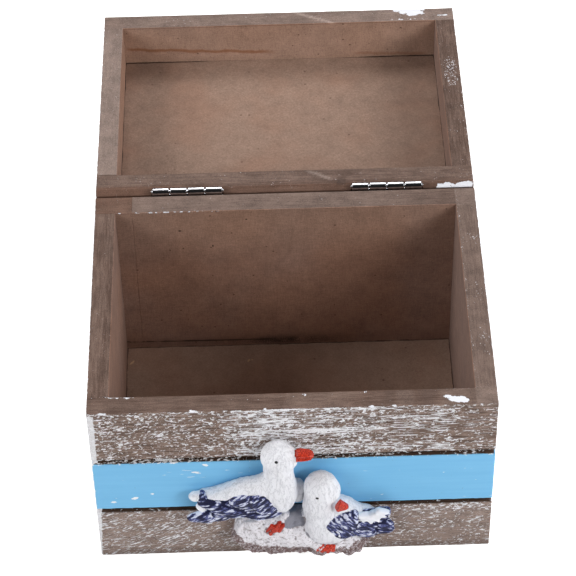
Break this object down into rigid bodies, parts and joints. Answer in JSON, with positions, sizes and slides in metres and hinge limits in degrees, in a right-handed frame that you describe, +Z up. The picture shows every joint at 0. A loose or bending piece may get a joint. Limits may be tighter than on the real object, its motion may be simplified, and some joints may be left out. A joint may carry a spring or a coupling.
{
  "type": "treasure chest",
  "caption": "Small wooden keepsake chest with a hinged lid, three painted plank bands and a cast pair of gulls on its front.",
  "frame": {"origin": "centre of the body's underside", "axes": "+X to the right seen from the front, +Y to the rear, where the lid lies open, +Z up"},
  "size_m": [0.13, 0.2114, 0.0731],
  "materials": {
    "painted_boards": "brown stain, with whitewash and a blue band, rubbed through at edges",
    "panel_board": "stained fibreboard",
    "painted_resin": "hand-painted casting",
    "plated_steel": "bright plating"
  },
  "bodies": {
    "box": {"front_board": "painted_boards", "left_side_board": "painted_boards", "right_side_board": "painted_boards", "rear_board": "painted_boards", "rear_board_end_piece": "painted_boards", "bottom_panel": "panel_board", "seagull_ornament": "painted_resin", "box_hinge_nails": "plated_steel", "left_hinge_box_leaf": "plated_steel", "right_hinge_box_leaf": "plated_steel", "left_hinge_pin": "plated_steel", "right_hinge_pin": "plated_steel"},
    "lid": {"lid_front_board": "painted_boards", "lid_left_board": "painted_boards", "lid_right_board": "painted_boards", "lid_rear_board": "painted_boards", "lid_top_panel": "panel_board", "lid_hinge_nails": "plated_steel", "left_hinge_lid_leaf": "plated_steel", "right_hinge_lid_leaf": "plated_steel"}
  },
  "joints": [
    {"name": "lid_hinge", "type": "hinge", "parent": "box", "child": "lid", "pos_m": [0, 0.05047, 0.07165], "axis": [1, 0, 0], "range_deg": [0, 182.5]}
  ]
}
